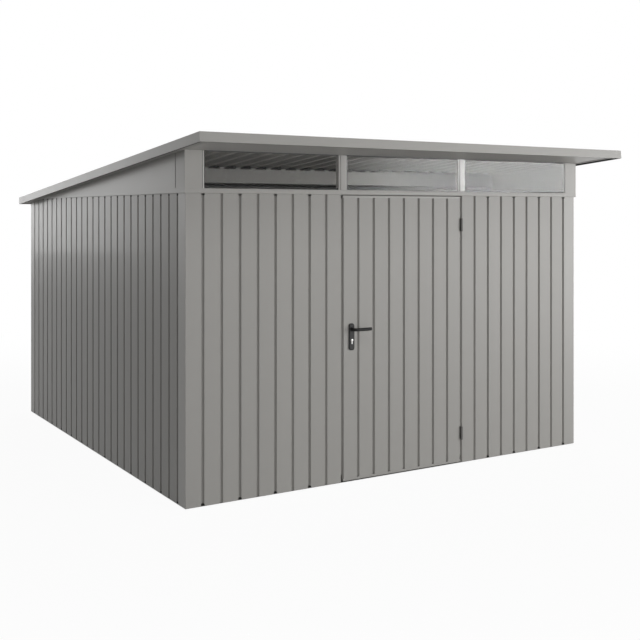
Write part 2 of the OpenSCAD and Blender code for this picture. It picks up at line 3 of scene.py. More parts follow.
import bmesh
import bpy
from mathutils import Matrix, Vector


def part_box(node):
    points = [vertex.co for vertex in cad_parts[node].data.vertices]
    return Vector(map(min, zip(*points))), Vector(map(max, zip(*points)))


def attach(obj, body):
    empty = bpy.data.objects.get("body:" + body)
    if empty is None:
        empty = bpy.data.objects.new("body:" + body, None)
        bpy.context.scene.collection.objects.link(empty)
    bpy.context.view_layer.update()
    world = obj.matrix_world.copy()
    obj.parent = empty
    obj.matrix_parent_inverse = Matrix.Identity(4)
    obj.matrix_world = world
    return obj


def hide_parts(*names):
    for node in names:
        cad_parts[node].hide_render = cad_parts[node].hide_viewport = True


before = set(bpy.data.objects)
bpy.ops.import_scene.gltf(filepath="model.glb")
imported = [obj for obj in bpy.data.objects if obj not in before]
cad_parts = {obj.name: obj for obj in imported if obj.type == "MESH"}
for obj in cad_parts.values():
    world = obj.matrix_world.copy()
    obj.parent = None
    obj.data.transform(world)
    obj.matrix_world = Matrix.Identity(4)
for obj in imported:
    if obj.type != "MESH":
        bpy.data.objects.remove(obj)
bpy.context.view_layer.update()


# Camera and light

CAMERA_PLACE = (-3.9995, -6.6398, 1.7555)
CAMERA_TURN = math.radians(-30.157)
CAMERA_LENS = 54.107
CAMERA_SHIFT = (0.0683, -0.1694)
SENSOR_WIDTH = 36.0


def add_camera():
    data = bpy.data.cameras.new("camera")
    data.sensor_width = SENSOR_WIDTH
    data.lens = CAMERA_LENS
    data.shift_x, data.shift_y = CAMERA_SHIFT
    camera = bpy.data.objects.new("camera", data)
    camera.location = CAMERA_PLACE
    camera.rotation_euler = (math.radians(90), 0, CAMERA_TURN)
    bpy.context.scene.collection.objects.link(camera)
    bpy.context.scene.camera = camera


def add_softbox(name, place, target, size, radiance):
    """A soft lamp whose face is as bright as the radiance asked for."""
    data = bpy.data.lights.new(name, "AREA")
    data.shape = "RECTANGLE"
    data.size, data.size_y = size
    data.energy = radiance * math.pi * size[0] * size[1]
    lamp = bpy.data.objects.new(name, data)
    lamp.location = place
    aim = Vector(target) - Vector(place)
    lamp.rotation_euler = aim.to_track_quat("-Z", "Y").to_euler()
    bpy.context.scene.collection.objects.link(lamp)
    return data


def fade_lamp(data, dim_at, full_at, dimmest):
    """Fades a lamp's face across its width, between two places given as shares of that width."""
    data.use_nodes = True
    tree = data.node_tree
    face = tree.nodes.new("ShaderNodeNewGeometry")
    across = node(tree, "ShaderNodeSeparateXYZ", {"Vector": face.outputs["Parametric"]})
    fade = node(tree, "ShaderNodeMapRange", {
        "Value": across.outputs["X"], "From Min": dim_at, "From Max": full_at,
        "To Min": dimmest, "To Max": 1.0,
    }, interpolation_type="SMOOTHSTEP")
    tree.links.new(fade.outputs["Result"], tree.nodes["Emission"].inputs["Strength"])


# Node helpers

def node(tree, kind, inputs=None, **settings):
    made = tree.nodes.new(kind)
    for name, value in settings.items():
        setattr(made, name, value)
    for socket, value in (inputs or {}).items():
        if isinstance(value, bpy.types.NodeSocket):
            tree.links.new(value, made.inputs[socket])
        else:
            made.inputs[socket].default_value = value
    return made


def math_node(tree, operation, *values):
    made = node(tree, "ShaderNodeMath", dict(enumerate(values)), operation=operation)
    return made.outputs[0]


def blend_colours(tree, share, first, second):
    """Mixes two colours, which are sockets 6 and 7 of the node, as its result is socket 2."""
    made = node(tree, "ShaderNodeMix", {0: share, 6: first, 7: second}, data_type="RGBA")
    return made.outputs[2]


def grey(level, warmth=0.0):
    """Linear colour of an 8-bit grey, a little warm where asked."""
    def linear(value):
        value /= 255
        return value / 12.92 if value <= 0.04045 else ((value + 0.055) / 1.055) ** 2.4
    return (linear(level + warmth), linear(level), linear(level - 2 * warmth), 1.0)


def object_place(tree):
    return tree.nodes.new("ShaderNodeTexCoord").outputs["Object"]


def seen_directly(tree):
    """1 for camera, mirror and see-through rays, so that metal and glass show the same backdrop."""
    path = tree.nodes.new("ShaderNodeLightPath")
    either = math_node(tree, "MAXIMUM", path.outputs["Is Camera Ray"], path.outputs["Is Glossy Ray"])
    return math_node(tree, "MAXIMUM", either, path.outputs["Is Transmission Ray"])


def new_group(name, inputs, outputs):
    group = bpy.data.node_groups.new(name, "ShaderNodeTree")
    for label, default in inputs.items():
        socket = group.interface.new_socket(label, in_out="INPUT", socket_type="NodeSocketFloat")
        socket.default_value = default
    for label in outputs:
        group.interface.new_socket(label, in_out="OUTPUT", socket_type="NodeSocketFloat")
    return group, group.nodes.new("NodeGroupInput"), group.nodes.new("NodeGroupOutput")


# Shared surface effects

def make_coat_group():
    """Orange peel of a stoved coating over sheet that is never quite flat."""
    group, given, result = new_group("stoved_coat", {"Peel": 0.03, "Wave": 0.5}, ["Height", "Mottle"])
    place = object_place(group)
    peel = node(group, "ShaderNodeTexNoise", {"Vector": place, "Scale": 420.0, "Detail": 1.0})
    wave = node(group, "ShaderNodeTexNoise", {"Vector": place, "Scale": 2.6, "Detail": 1.0})
    mottle = node(group, "ShaderNodeTexNoise", {"Vector": place, "Scale": 11.0, "Detail": 4.0})
    fine = math_node(group, "MULTIPLY", peel.outputs["Fac"], given.outputs["Peel"])
    height = math_node(group, "MULTIPLY_ADD", wave.outputs["Fac"], given.outputs["Wave"], fine)
    group.links.new(height, result.inputs["Height"])
    group.links.new(mottle.outputs["Fac"], result.inputs["Mottle"])
    return group


def make_panel_group():
    """A slightly different tone for every folded panel along a wall."""
    group, given, result = new_group("panel_tone", {"Panel width": 0.25}, ["Tone"])
    parts = node(group, "ShaderNodeSeparateXYZ", {"Vector": object_place(group)})
    along_x = math_node(group, "DIVIDE", parts.outputs["X"], given.outputs["Panel width"])
    along_y = math_node(group, "DIVIDE", parts.outputs["Y"], given.outputs["Panel width"])
    cell = node(group, "ShaderNodeCombineXYZ", {
        "X": math_node(group, "FLOOR", along_x), "Y": math_node(group, "FLOOR", along_y),
    })
    tone = node(group, "ShaderNodeTexWhiteNoise", {"Vector": cell.outputs["Vector"]})
    group.links.new(tone.outputs["Value"], result.inputs["Tone"])
    return group


def make_spangle_group():
    """Crystal flowers of hot-dip zinc."""
    group, given, result = new_group("zinc_spangle", {"Crystals": 70.0}, ["Tone", "Edge"])
    place = object_place(group)
    cells = node(group, "ShaderNodeTexVoronoi", {"Vector": place, "Scale": given.outputs["Crystals"]})
    hue = node(group, "ShaderNodeSeparateColor", {"Color": cells.outputs["Color"]})
    group.links.new(hue.outputs["Red"], result.inputs["Tone"])
    group.links.new(cells.outputs["Distance"], result.inputs["Edge"])
    return group


COAT = make_coat_group()
PANELS = make_panel_group()
SPANGLE = make_spangle_group()


def placed(tree, group, **inputs):
    made = node(tree, "ShaderNodeGroup", node_tree=group)
    for label, value in inputs.items():
        made.inputs[label.capitalize()].default_value = value
    return made


# Finishes

def new_finish(name):
    material = bpy.data.materials.new(name)
    material.use_nodes = True
    tree = material.node_tree
    return material, tree, tree.nodes["Principled BSDF"]


def vary_colour(tree, shader, share, dark, light):
    tree.links.new(blend_colours(tree, share, dark, light), shader.inputs["Base Color"])


def vary_roughness(tree, shader, share, least, spread):
    rough = math_node(tree, "MULTIPLY_ADD", share, spread, least)
    tree.links.new(rough, shader.inputs["Roughness"])


def add_bump(tree, shader, height, strength, distance):
    bump = node(tree, "ShaderNodeBump", {"Strength": strength, "Distance": distance, "Height": height})
    tree.links.new(bump.outputs["Normal"], shader.inputs["Normal"])


COIL_WARMTH = 1.7
PANEL_SHARE = 0.4
COAT_DRIFT = 0.08
PANE_TINT = (0.945, 0.942, 0.93, 1.0)
PANE_IOR = 1.165
PANE_HAZE = 0.008


def coil_grey(level):
    return grey(level, COIL_WARMTH)


def coated_steel(name, colour, roughness, spread, boards=False, shine=0.22, gloss=0.0):
    """Satin coil coating: the tone drifts a little, and from panel to panel on the boards."""
    material, tree, shader = new_finish(name)
    coat = placed(tree, COAT)
    drift = mottle = coat.outputs["Mottle"]
    if boards:
        by_panel = math_node(tree, "MULTIPLY", placed(tree, PANELS).outputs["Tone"], PANEL_SHARE)
        drift = math_node(tree, "MULTIPLY_ADD", mottle, 1 - PANEL_SHARE, by_panel)
    darker = [c * (1 - spread) for c in colour[:3]] + [1.0]
    lighter = [c * (1 + spread) for c in colour[:3]] + [1.0]
    vary_colour(tree, shader, drift, darker, lighter)
    vary_roughness(tree, shader, mottle, roughness - COAT_DRIFT / 2, COAT_DRIFT)
    add_bump(tree, shader, coat.outputs["Height"], strength=1.0, distance=0.001)
    shader.inputs["Specular IOR Level"].default_value = shine
    shader.inputs["Coat Weight"].default_value = gloss
    shader.inputs["Coat Roughness"].default_value = 0.07
    return material


def galvanised_steel():
    material, tree, shader = new_finish("zinc")
    spangle = placed(tree, SPANGLE)
    vary_colour(tree, shader, spangle.outputs["Tone"], grey(98, 1), grey(112, 1))
    vary_roughness(tree, shader, spangle.outputs["Tone"], least=0.38, spread=0.15)
    add_bump(tree, shader, spangle.outputs["Edge"], strength=0.15, distance=0.0005)
    shader.inputs["Metallic"].default_value = 0.5
    return material


def clear_pane():
    """Acrylic sheet that lets lamps through."""
    material, tree, shader = new_finish("clear_acrylic")
    haze = node(tree, "ShaderNodeTexNoise", {"Vector": object_place(tree), "Scale": 6.0, "Detail": 3.0})
    rough = math_node(tree, "MULTIPLY", haze.outputs["Fac"], PANE_HAZE)
    tree.links.new(rough, shader.inputs["Roughness"])
    shader.inputs["Base Color"].default_value = PANE_TINT
    shader.inputs["Transmission Weight"].default_value = 1.0
    shader.inputs["IOR"].default_value = PANE_IOR
    open_air = tree.nodes.new("ShaderNodeBsdfTransparent")
    path = tree.nodes.new("ShaderNodeLightPath")
    mixed = node(tree, "ShaderNodeMixShader", {
        0: path.outputs["Is Shadow Ray"], 1: shader.outputs["BSDF"], 2: open_air.outputs["BSDF"],
    })
    tree.links.new(mixed.outputs["Shader"], tree.nodes["Material Output"].inputs["Surface"])
    return material


def satin_black(name, dark, light):
    """Black coating of the door furniture, with a fine peel and no waves."""
    material, tree, shader = new_finish(name)
    coat = placed(tree, COAT, peel=0.05, wave=0.0)
    vary_colour(tree, shader, coat.outputs["Mottle"], grey(dark), grey(light))
    vary_roughness(tree, shader, coat.outputs["Mottle"], least=0.40, spread=0.12)
    add_bump(tree, shader, coat.outputs["Height"], strength=0.6, distance=0.0006)
    shader.inputs["Specular IOR Level"].default_value = 0.25
    return material


def satin_nickel(name, dark, light):
    """Brushed plating of the lock."""
    material, tree, shader = new_finish(name)
    brush = node(tree, "ShaderNodeMapping", {"Vector": object_place(tree), "Scale": (60.0, 60.0, 2500.0)})
    streaks = node(tree, "ShaderNodeTexNoise", {
        "Vector": brush.outputs["Vector"], "Scale": 1.0, "Detail": 2.0,
    })
    vary_colour(tree, shader, streaks.outputs["Fac"], grey(dark, 1), grey(light, 1))
    vary_roughness(tree, shader, streaks.outputs["Fac"], least=0.24, spread=0.14)
    shader.inputs["Metallic"].default_value = 1.0
    return material


def dull_rubber(name, dark, light):
    material, tree, shader = new_finish(name)
    grain = node(tree, "ShaderNodeTexNoise", {"Vector": object_place(tree), "Scale": 260.0, "Detail": 3.0})
    vary_colour(tree, shader, grain.outputs["Fac"], grey(dark), grey(light))
    vary_roughness(tree, shader, grain.outputs["Fac"], least=0.6, spread=0.2)
    add_bump(tree, shader, grain.outputs["Fac"], strength=0.3, distance=0.0005)
    shader.inputs["Specular IOR Level"].default_value = 0.2
    return material


FINISHES = {
    "cladding": coated_steel("board_coat", coil_grey(153), 0.38, 0.03, boards=True, shine=0.17),
    # Darker copy of the board coating for the side walls: painted shade
    "painted_shade_cladding": coated_steel(
        "painted_shade_side_coat", coil_grey(138), 0.38, 0.03, boards=True, shine=0.13, gloss=0.09,
    ),
    "trim": coated_steel("trim_coat", coil_grey(150), 0.38, 0.02, shine=0.30),
    # Lighter copy of the trim coating for the sill and the glazed strip's posts: painted light where the
    # overhang shades them
    "painted_light_post_trim": coated_steel("painted_light_post_coat", coil_grey(155), 0.38, 0.02, shine=0.22),
    # Lighter, glossier copy of the trim coating for the mullions: the lighter colour is painted light
    # where the overhang shades them
    "painted_light_window_trim": coated_steel("painted_light_window_coat", coil_grey(154), 0.11, 0.02, shine=0.20),
    # Much lighter copy of the trim coating for the lip covers: a painted highlight along the posts' lips
    "lip_painted_highlight": coated_steel("lip_painted_highlight_coat", coil_grey(176), 0.20, 0.02, shine=0.34),
    # Lighter copy of the trim coating for the front soffit: painted light on the shaded underside of the
    # eaves
    "soffit": coated_steel("soffit_painted_light_coat", coil_grey(163), 0.40, 0.02, shine=0.36),
    "lining": coated_steel("lining_coat", coil_grey(150), 0.6, 0.02, shine=0.10),
    # Lighter than the wall boards: painted light for the roof's shaded underside seen through the panes
    "roof_sheet": coated_steel("roof_painted_light_coat", coil_grey(172), 0.36, 0.03),
    "galvanised": galvanised_steel(),
    "glazing": clear_pane(),
    "handle_black": satin_black("black_coat", 12, 20),
    # Lighter black for the plates' raised field: a painted sheen
    "painted_sheen_field": satin_black("field_painted_sheen_coat", 40, 50),
    "lock_metal": satin_nickel("nickel", 196, 214),
    "plug_metal": satin_nickel("plug_nickel", 176, 198),
    # Black rubber for washers and eaves fillers, and painted shade as the drip foam, the purlin fillers
    # and the groove plugs
    "rubber": dull_rubber("black_rubber_and_painted_shade", 26, 38),
    "seal_grey": dull_rubber("grey_rubber", 96, 112),
    # Dark grey for the head seals and the lap beads, and painted shade as the lip beads
    "bead_and_painted_shade_grey": dull_rubber("bead_rubber_and_painted_shade", 84, 96),
    "hinge_steel": coated_steel("hinge_coat", grey(104, 1), 0.42, 0.04),
}


# Pieces given a lighter or darker copy of their kind's coating, which paints light and shade on them:
# painted shade on the side walls, painted light on the mullions, the soffit, the sill and the glazed
# strip's posts
OWN_FINISH = {
    "left_wall": "painted_shade_cladding", "right_wall": "painted_shade_cladding",
    "mullions": "painted_light_window_trim", "front_soffit": "soffit", "clerestory_sill": "painted_light_post_trim",
    "clerestory_post_left": "painted_light_post_trim", "clerestory_post_right": "painted_light_post_trim",
}


def finish_solids():
    for name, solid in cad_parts.items():
        for slot in solid.material_slots:
            slot.material = FINISHES[OWN_FINISH.get(name, slot.material.name)]


# Places from the part's own sizes, in metres

FRONT_Y = -1.4675
BACK_Y = 1.7605
SIDE_X = 1.614
WALL_HEIGHT = 1.865
BOARD_PITCH = 0.125
CORNER_LEG = 0.114
SIDE_GROOVES = 23
GROOVE_FLOOR = FRONT_Y + 0.0122
SILL_TOP = 1.895
TRIM_OUT = 0.010
TRIM_FRONT = FRONT_Y - TRIM_OUT
TRIM_SIDE = SIDE_X + TRIM_OUT
LIP_STEP = 0.004
LIP_FACE = TRIM_FRONT + LIP_STEP
POST_LAP = 0.120
GABLE_END = 1.0670
SOFFIT_Z = 2.120
ROOF_SLOPE = math.radians(5.0)
ON_SLOPE = (-ROOF_SLOPE, 0, 0)
SHEET_SEAT = 0.022
SHEET = 0.0008
RIB_PITCH = 0.125
RIB_HEIGHT = 0.022
RIB_CREST = 0.060
RIB_FOOT = 0.090
RIB_COUNT = 27
RIBS_PER_SHEET = 9
EAVES_FRONT = -0.3734
EAVES_BACK = 3.3154
DRIP_INSIDE = 1.6918
PURLIN_LINES = (0.8834, 1.6690, 2.4547)
SUPPORT_LINES = (0.010, *PURLIN_LINES, 3.2001)


def roof_place(across, down, up):
    """A place on the roof: across it, down the slope from the front wall's face and up from the soffit."""
    return (
        across,
        FRONT_Y + down * math.cos(ROOF_SLOPE) + up * math.sin(ROOF_SLOPE),
        SOFFIT_Z - down * math.sin(ROOF_SLOPE) + up * math.cos(ROOF_SLOPE),
    )


def side_runs(inner, outer):
    """The ranges in x of a strip on the left and on the right, from its distances to the middle."""
    return (-outer, -inner), (inner, outer)


# Modelling helpers

# How far along an axis the normal of a face that looks that way reaches at least
STRAIGHT = 0.9
FLAT = 0.99
LONG_EDGE = 0.05
TOUCH = 0.0001
DISC_SIDES = 32
UNTURNED = (0.0, 0.0, 0.0)
FACING = {"-y": (math.pi / 2, 0, 0), "+y": (-math.pi / 2, 0, 0), "+z": (0, 0, 0), "-z": (math.pi, 0, 0)}
OUTWARD = {-1: "-y", 1: "+y"}


def start_piece(add, **settings):
    """Adds a primitive with nothing else selected, puts its place into its mesh and opens it to edit."""
    bpy.ops.object.select_all(action="DESELECT")
    add(**settings)
    bpy.ops.object.transform_apply(location=True, rotation=True, scale=True)
    bpy.ops.object.mode_set(mode="EDIT")
    return bpy.context.object


def start_box(low, high):
    middle = [(a + b) / 2 for a, b in zip(low, high)]
    size = [b - a for a, b in zip(low, high)]
    return start_piece(bpy.ops.mesh.primitive_cube_add, size=1.0, location=middle, scale=size)


def start_disc(middle, radius, facing):
    """A disc, selected all over and ready to be drawn out."""
    disc = start_piece(
        bpy.ops.mesh.primitive_circle_add, vertices=DISC_SIDES, radius=radius, fill_type="NGON",
        location=middle, rotation=FACING[facing],
    )
    bpy.ops.mesh.select_all(action="SELECT")
    return disc


def pick_faces(piece, wanted):
    """Selects the faces whose middle and normal are wanted."""
    bpy.ops.mesh.select_mode(type="FACE")
    bpy.ops.mesh.select_all(action="DESELECT")
    mesh = bmesh.from_edit_mesh(piece.data)
    for face in mesh.faces:
        if wanted(face.calc_center_median(), face.normal):
            face.select_set(True)
    bmesh.update_edit_mesh(piece.data)


def pick_edges(piece, wanted):
    """Selects the edges whose two ends are wanted."""
    bpy.ops.mesh.select_mode(type="EDGE")
    bpy.ops.mesh.select_all(action="DESELECT")
    mesh = bmesh.from_edit_mesh(piece.data)
    for edge in mesh.edges:
        if wanted(edge.verts[0].co, edge.verts[1].co):
            edge.select_set(True)
    bmesh.update_edit_mesh(piece.data)


def pick_top(piece):
    pick_faces(piece, lambda middle, normal: normal.z > STRAIGHT)


def pick_front_edges(piece, axis, front):
    """Selects the long edges along an axis that lie on a front face."""
    def wanted(a, b):
        return abs(getattr(a, axis) - getattr(b, axis)) > LONG_EDGE and max(a.y, b.y) < front + TOUCH
    pick_edges(piece, wanted)


def extrude(step):
    bpy.ops.mesh.extrude_region_move(TRANSFORM_OT_translate={"value": step})


def swell(middle, factors):
    bpy.ops.transform.resize(value=factors, center_override=middle)


def round_edges(width, segments):
    bpy.ops.mesh.bevel(offset=width, segments=segments, affect="EDGES")


def close_piece(piece, smooth=40.0):
    bpy.ops.mesh.select_all(action="SELECT")
    bpy.ops.mesh.remove_doubles(threshold=0.000001)
    bpy.ops.mesh.normals_make_consistent(inside=False)
    bpy.ops.object.mode_set(mode="OBJECT")
    bpy.ops.object.shade_smooth_by_angle(angle=math.radians(smooth))
    return piece


def dress(piece, name, body, finish):
    piece.name = piece.data.name = name
    piece.data.materials.clear()
    piece.data.materials.append(finish)
    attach(piece, body)
    return piece


def copy_at(piece, place, turn=UNTURNED):
    twin = piece.copy()
    twin.data = piece.data.copy()
    twin.location, twin.rotation_euler = place, turn
    bpy.context.scene.collection.objects.link(twin)
    return twin


def join_all(pieces):
    """Joins pieces into the first one and puts its place into its mesh."""
    bpy.ops.object.select_all(action="DESELECT")
    for piece in pieces:
        piece.select_set(True)
    bpy.context.view_layer.objects.active = pieces[0]
    if len(pieces) > 1:
        bpy.ops.object.join()
    bpy.ops.object.transform_apply(location=True, rotation=True, scale=True)
    return pieces[0]


def spread_copies(piece, places, turn=UNTURNED):
    """Joined copies of a piece modelled at the origin, which is deleted."""
    twins = [copy_at(piece, place, turn) for place in places]
    bpy.data.objects.remove(piece)
    return join_all(twins)


# Door furniture: side is -1 outside the leaf and 1 inside

SPINDLE = (-0.43, 0.99)
PLATE_FACE = {-1: -1.4755, 1: -1.4135}
LEVER_LINE = {-1: -1.5215, 1: -1.3675}
LEVER_RADIUS = 0.010
LEVER_BEND = 0.014
BEND_STEPS = 10
NECK_SINK = 0.004
# Steps along the grip, each with its change of thickness
GRIP_STEPS = ((0.018, 1.04), (0.030, 1.04), (0.040, 1.0), (0.022, 0.96))
GRIP_END = 0.004
COLLAR_RADIUS, COLLAR_HEIGHT, COLLAR_SINK, COLLAR_ROUND = 0.0135, 0.0045, 0.001, 0.0012
PLATE_CORNER, PLATE_RIM = 0.016, 0.0022
PLATE_HALF = 0.004
FIELD_INSET, FIELD_SLOPE, FIELD_RISE = 0.0035, 0.0008, 0.0006
LOCK_HEIGHT = 0.918
LOCK_RIM = 0.0007
PLUG_RADIUS, PLUG_HEIGHT, PLUG_SINK, PLUG_ROUND = 0.0064, 0.0014, 0.0005, 0.0004
PLUG_LIP, PLUG_DISH = 0.0007, 0.0002
KEY_LOW, KEY_HIGH, KEY_ROUND = (-0.0009, -0.001, -0.0045), (0.0009, 0.0, 0.0038), 0.0007


def lever_collar(side):
    """Turned ring where the lever's neck meets the back plate."""
    x, z = SPINDLE
    collar = start_disc((x, PLATE_FACE[side] - side * COLLAR_SINK, z), COLLAR_RADIUS, OUTWARD[side])
    extrude((0, side * COLLAR_HEIGHT, 0))
    round_edges(COLLAR_ROUND, 3)
    return close_piece(collar)


def lever(side):
    """Round lever bent out of its neck."""
    x, z = SPINDLE
    centre_line = LEVER_LINE[side]
    neck_start = PLATE_FACE[side] - side * NECK_SINK
    neck_end = centre_line - side * LEVER_BEND
    bar = start_disc((x, neck_start, z), LEVER_RADIUS, OUTWARD[side])
    extrude((0, neck_end - neck_start, 0))
    bpy.ops.mesh.spin(
        steps=BEND_STEPS, angle=side * math.pi / 2, center=(x + LEVER_BEND, neck_end, z), axis=(0, 0, 1),
    )
    for reach, thickness in GRIP_STEPS:
        extrude((reach, 0, 0))
        x += reach
        swell((x + LEVER_BEND, centre_line, z), (1, thickness, thickness))
    round_edges(GRIP_END, 5)
    close_piece(bar)
    return join_all([bar, lever_collar(side)])


def handle_plate(node_name, side):
    """Back plate with a round outline, a soft rim and a slightly raised field."""
    plate = start_box(*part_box(node_name))
    pick_edges(plate, lambda a, b: abs(a.y - b.y) > PLATE_HALF)
    round_edges(PLATE_CORNER, 10)
    pick_faces(plate, lambda middle, normal: normal.y * side > STRAIGHT)
    round_edges(PLATE_RIM, 4)
    pick_faces(plate, lambda middle, normal: normal.y * side > FLAT)
    bpy.ops.mesh.inset(thickness=FIELD_INSET, depth=0.0)
    bpy.ops.mesh.inset(thickness=FIELD_SLOPE, depth=FIELD_RISE)
    return close_piece(plate, smooth=30.0)


def paint_sheen_on_field(plate, side):
    """Gives the raised field of a back plate, its largest flat face, a lighter black that paints the sheen
    of its flat face.
    """
    plate.data.materials.append(FINISHES["painted_sheen_field"])
    flat = [face for face in plate.data.polygons if face.normal.y * side > FLAT]
    max(flat, key=lambda face: face.area).material_index = 1


def lock_body():
    """The cylinder's own profile with its end rims broken."""
    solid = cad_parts["lock_cylinder"]
    body = solid.copy()
    body.data = solid.data.copy()
    bpy.context.scene.collection.objects.link(body)
    body.parent = None
    bpy.ops.object.select_all(action="DESELECT")
    body.select_set(True)
    bpy.context.view_layer.objects.active = body
    bpy.ops.object.mode_set(mode="EDIT")
    bpy.ops.mesh.customdata_custom_splitnormals_clear()
    bpy.ops.mesh.select_all(action="SELECT")
    bpy.ops.mesh.remove_doubles(threshold=0.00001)
    bpy.ops.mesh.dissolve_limited(angle_limit=math.radians(1.0))
    pick_faces(body, lambda middle, normal: abs(normal.y) > FLAT)
    round_edges(LOCK_RIM, 2)
    return close_piece(body)


def lock_plug():
    """Turning plug of the lock, at the origin and facing -Y."""
    plug = start_disc((0, PLUG_SINK, 0), PLUG_RADIUS, "-y")
    extrude((0, -PLUG_HEIGHT, 0))
    round_edges(PLUG_ROUND, 2)
    bpy.ops.mesh.inset(thickness=PLUG_LIP, depth=-PLUG_DISH)
    return close_piece(plug)


def key_slot():
    """Slot of the lock, at the origin and facing -Y."""
    slot = start_box(KEY_LOW, KEY_HIGH)
    pick_edges(slot, lambda a, b: abs(a.y - b.y) > TOUCH)
    round_edges(KEY_ROUND, 3)
    return close_piece(slot)


def on_lock_ends(piece):
    """Copies of a piece on both end faces of the lock's cylinder."""
    low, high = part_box("lock_cylinder")
    outside = copy_at(piece, (SPINDLE[0], low[1], LOCK_HEIGHT))
    inside = copy_at(piece, (SPINDLE[0], high[1], LOCK_HEIGHT), (0, 0, math.pi))
    bpy.data.objects.remove(piece)
    return join_all([outside, inside])


def add_furniture():
    black, nickel = FINISHES["handle_black"], FINISHES["lock_metal"]
    for side, where in ((-1, "outside"), (1, "inside")):
        grip = dress(lever(side), "lever_grip_" + where, "handle", black)
        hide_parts("lever_" + where)
        plate = handle_plate("handle_plate_" + where, side)
        dress(plate, "back_plate_" + where, "door", black)
        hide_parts("handle_plate_" + where)
        paint_sheen_on_field(plate, side)
    body = dress(lock_body(), "lock_body", "door", nickel)
    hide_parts("lock_cylinder")
    dress(on_lock_ends(lock_plug()), "lock_plugs", "door", FINISHES["plug_metal"])
    dress(on_lock_ends(key_slot()), "key_slots", "door", black)


# Hinges

HINGE_AXIS = (0.5, -1.4765)
HINGE_FEET = (0.164, 1.620)
HINGE_HEIGHT = 0.086
HINGE_JOINT = 0.0426
CAP_RADIUS, CAP_SINK = 0.0078, 0.0005
# Steps up a cap, each with its change of width
CAP_STEPS = ((0.0015, 1.0), (0.0012, 0.86), (0.0006, 0.6))
RING_RADIUS, RING_WIDTH, RING_HEIGHT = 0.0076, 0.0030, 0.0008


def knuckle_cap(facing):
    """Turned button for the end of a hinge barrel, at the origin."""
    up = 1 if facing == "+z" else -1
    cap = start_disc((0, 0, -up * CAP_SINK), CAP_RADIUS, facing)
    for rise, width in CAP_STEPS:
        extrude((0, 0, up * rise))
        swell((0, 0, 0), (width, width, 1))
    return close_piece(cap, smooth=60.0)


def bearing_ring():
    """Plain bearing between the two halves of a hinge, at the origin."""
    ring = start_disc((0, 0, 0), RING_RADIUS, "+z")
    bpy.ops.mesh.inset(thickness=RING_WIDTH, depth=0.0)
    bpy.ops.mesh.delete(type="FACE")
    bpy.ops.mesh.select_all(action="SELECT")
    extrude((0, 0, RING_HEIGHT))
    return close_piece(ring)


def on_hinges(piece, height):
    return spread_copies(piece, [(*HINGE_AXIS, foot + height) for foot in HINGE_FEET])


def add_hinges():
    steel = FINISHES["hinge_steel"]
    caps = on_hinges(knuckle_cap("+z"), HINGE_HEIGHT)
    dress(caps, "hinge_caps_upper", "door", steel)
    caps = on_hinges(knuckle_cap("-z"), 0.0)
    dress(caps, "hinge_caps_lower", "shed", steel)
    rings = on_hinges(bearing_ring(), HINGE_JOINT)
    dress(rings, "hinge_bearings", "shed", FINISHES["galvanised"])


# Glazing seals and door seals

PANES = ("pane_left", "pane_middle", "pane_right")
TAPE_GAP, TAPE_THICKNESS, TAPE_MARGIN, TAPE_TOP = 0.00004, 0.00022, 0.0002, 0.0018
TAPE_WIDTH, TAPE_RISE, TAPE_SHIFT = 0.002, 0.0112, 0.005
HEAD_DEPTH, HEAD_GAP, HEAD_LOW, HEAD_TOP, HEAD_ROUND = 0.0032, 0.0001, 0.0046, 0.0006, 0.0015
LEAF_FOOT, LEAF_TOP = 0.046, 1.839
SEAL_PLACES = (-0.495, 0.495)
SEAL_HALF, SEAL_DEPTH, SEAL_GAP, SEAL_ROUND = 0.011, 0.0045, 0.0001, 0.004
WALL_EDGE, STRIKE_EDGE, GAP_REACH = 0.5060, 0.5039, 0.4958
STRIKE_LOW, STRIKE_TOP = 0.8325, 1.0035
HINGE_CUT_LOW, HINGE_CUT_TOP = (0.1625, 0.2515), (1.6185, 1.7075)
# Each strip's range in x and its two ends, clear of the strike plate and the hinges
FILLER_RUNS = (
    (-WALL_EDGE, -GAP_REACH, LEAF_FOOT, STRIKE_LOW),
    (-STRIKE_EDGE, -GAP_REACH, STRIKE_LOW, STRIKE_TOP),
    (-WALL_EDGE, -GAP_REACH, STRIKE_TOP, LEAF_TOP),
    (GAP_REACH, WALL_EDGE, LEAF_FOOT, HINGE_CUT_LOW[0]),
    (GAP_REACH, WALL_EDGE, HINGE_CUT_LOW[1], HINGE_CUT_TOP[0]),
    (GAP_REACH, WALL_EDGE, HINGE_CUT_TOP[1], LEAF_TOP),
)
FILLER_DEPTH, FILLER_INSET, FILLER_BACK, FILLER_ROUND = 0.0033, 0.0015, 0.003, 0.0008


def glazing_tape(node_name):
    """Black tape round the inner face of a pane, deeper along the sill's stop."""
    low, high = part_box(node_name)
    y = high[1] + TAPE_GAP
    tape = start_box(
        (low[0] + TAPE_MARGIN, y, low[2] + TAPE_MARGIN),
        (high[0] - TAPE_MARGIN, y + TAPE_THICKNESS, high[2] - TAPE_TOP),
    )
    pick_faces(tape, lambda middle, normal: abs(normal.y) > STRAIGHT)
    bpy.ops.mesh.inset(thickness=TAPE_WIDTH, depth=0.0)
    bpy.ops.mesh.bridge_edge_loops()
    near, far = TAPE_WIDTH / 2, TAPE_WIDTH * 10
    pick_edges(tape, lambda a, b: low[2] + near < min(a.z, b.z) and max(a.z, b.z) < low[2] + far)
    bpy.ops.transform.translate(value=(0, 0, TAPE_RISE))
    pick_edges(tape, lambda a, b: low[0] + near < min(a.x, b.x) and max(a.x, b.x) < low[0] + far)
    bpy.ops.transform.translate(value=(TAPE_SHIFT, 0, 0))
    return close_piece(tape)


